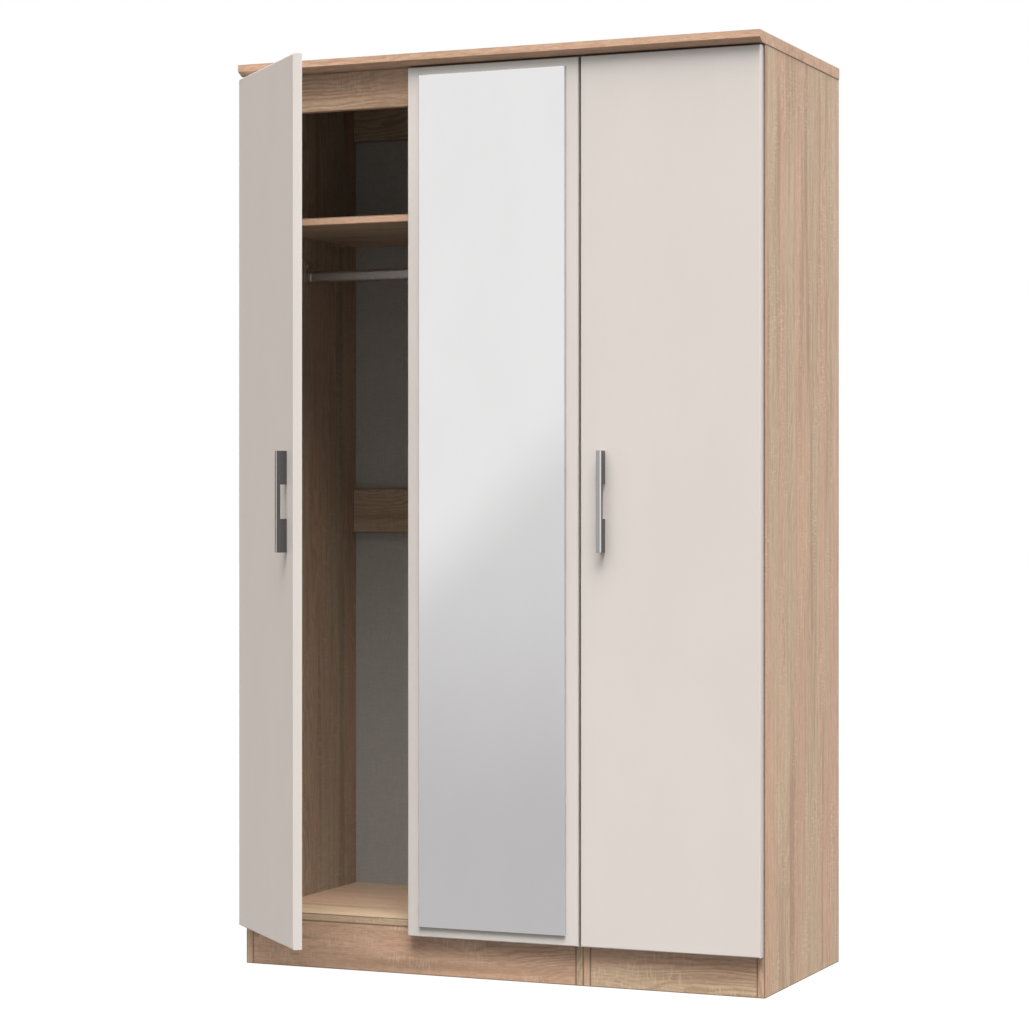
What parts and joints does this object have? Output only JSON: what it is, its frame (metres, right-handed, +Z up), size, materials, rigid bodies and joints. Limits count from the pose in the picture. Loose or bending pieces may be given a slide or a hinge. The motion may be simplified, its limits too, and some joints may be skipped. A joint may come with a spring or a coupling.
{
  "type": "wardrobe with doors",
  "caption": "Tall wardrobe with three hinged doors, a full-length mirror on the middle one, hanging rails, shelves and bar handles.",
  "frame": {"origin": "on the floor, midway across the carcase, in the plane of its front edges", "axes": "+Z up, +X to the right of someone who faces the doors, +Y from the doors to the back"},
  "size_m": [1.1144, 0.7564, 1.821],
  "materials": {
    "oak_foil": "pale rough-sawn oak foil on chipboard, satin",
    "back_linen": "grey-beige linen-print foil on thin hardboard, matt",
    "door_gloss": "warm greige gloss foil wrapped over fibreboard",
    "mirror": "silvered glass, polished edge",
    "handle_steel": "satin chrome",
    "rail_steel": "satin",
    "fitting_steel": "nickel plated",
    "dowel_beech": "plain turned beech",
    "clear_bumper": "soft clear bumper",
    "foam_tape": "dark foam tape"
  },
  "bodies": {
    "carcase": {"top_board": "oak_foil", "left_unit_side_left": "oak_foil", "left_unit_side_right": "oak_foil", "left_unit_bottom": "oak_foil", "left_unit_plinth": "oak_foil", "left_unit_front_top_rail": "oak_foil", "left_unit_rear_top_rail": "oak_foil", "left_unit_mid_back_rail": "oak_foil", "left_unit_back": "back_linen", "left_unit_shelf": "oak_foil", "left_unit_hanging_rail": "rail_steel", "right_unit_side_left": "oak_foil", "right_unit_side_right": "oak_foil", "right_unit_bottom": "oak_foil", "right_unit_plinth": "oak_foil", "right_unit_front_top_rail": "oak_foil", "right_unit_rear_top_rail": "oak_foil", "right_unit_mid_back_rail": "oak_foil", "right_unit_back": "back_linen", "right_unit_shelf": "oak_foil", "right_unit_hanging_rail": "rail_steel", "rail_sockets": "fitting_steel", "rail_socket_screws": "fitting_steel", "shelf_pegs": "fitting_steel", "dowels": "dowel_beech", "unit_connector_sleeves": "fitting_steel", "unit_connector_screws": "fitting_steel", "hinge_plates": "fitting_steel", "hinge_plate_screws": "fitting_steel", "hinge_arms": "fitting_steel"},
    "left_door": {"left_door_panel": "door_gloss", "left_hinge_cups": "fitting_steel", "left_cup_screws": "fitting_steel", "left_door_bumpers": "clear_bumper", "left_door_handle": "handle_steel", "left_handle_screws": "fitting_steel"},
    "mirror_door": {"mirror_door_panel": "door_gloss", "mirror_hinge_cups": "fitting_steel", "mirror_cup_screws": "fitting_steel", "mirror_door_bumpers": "clear_bumper", "mirror_tape": "foam_tape", "mirror_glass": "mirror"},
    "right_door": {"right_door_panel": "door_gloss", "right_hinge_cups": "fitting_steel", "right_cup_screws": "fitting_steel", "right_door_bumpers": "clear_bumper", "right_door_handle": "handle_steel", "right_handle_screws": "fitting_steel"}
  },
  "joints": [
    {"name": "left_door_hinge", "type": "hinge", "parent": "carcase", "child": "left_door", "pos_m": [-0.5495, -0.002, 0.9367], "axis": [0, 0, -1], "range_deg": [-45, 60]},
    {"name": "mirror_door_hinge", "type": "hinge", "parent": "carcase", "child": "mirror_door", "pos_m": [0.176, -0.012, 0.9367], "axis": [0, 0, 1], "range_deg": [0, 100]},
    {"name": "right_door_hinge", "type": "hinge", "parent": "carcase", "child": "right_door", "pos_m": [0.5495, -0.002, 0.9367], "axis": [0, 0, 1], "range_deg": [0, 105]}
  ]
}
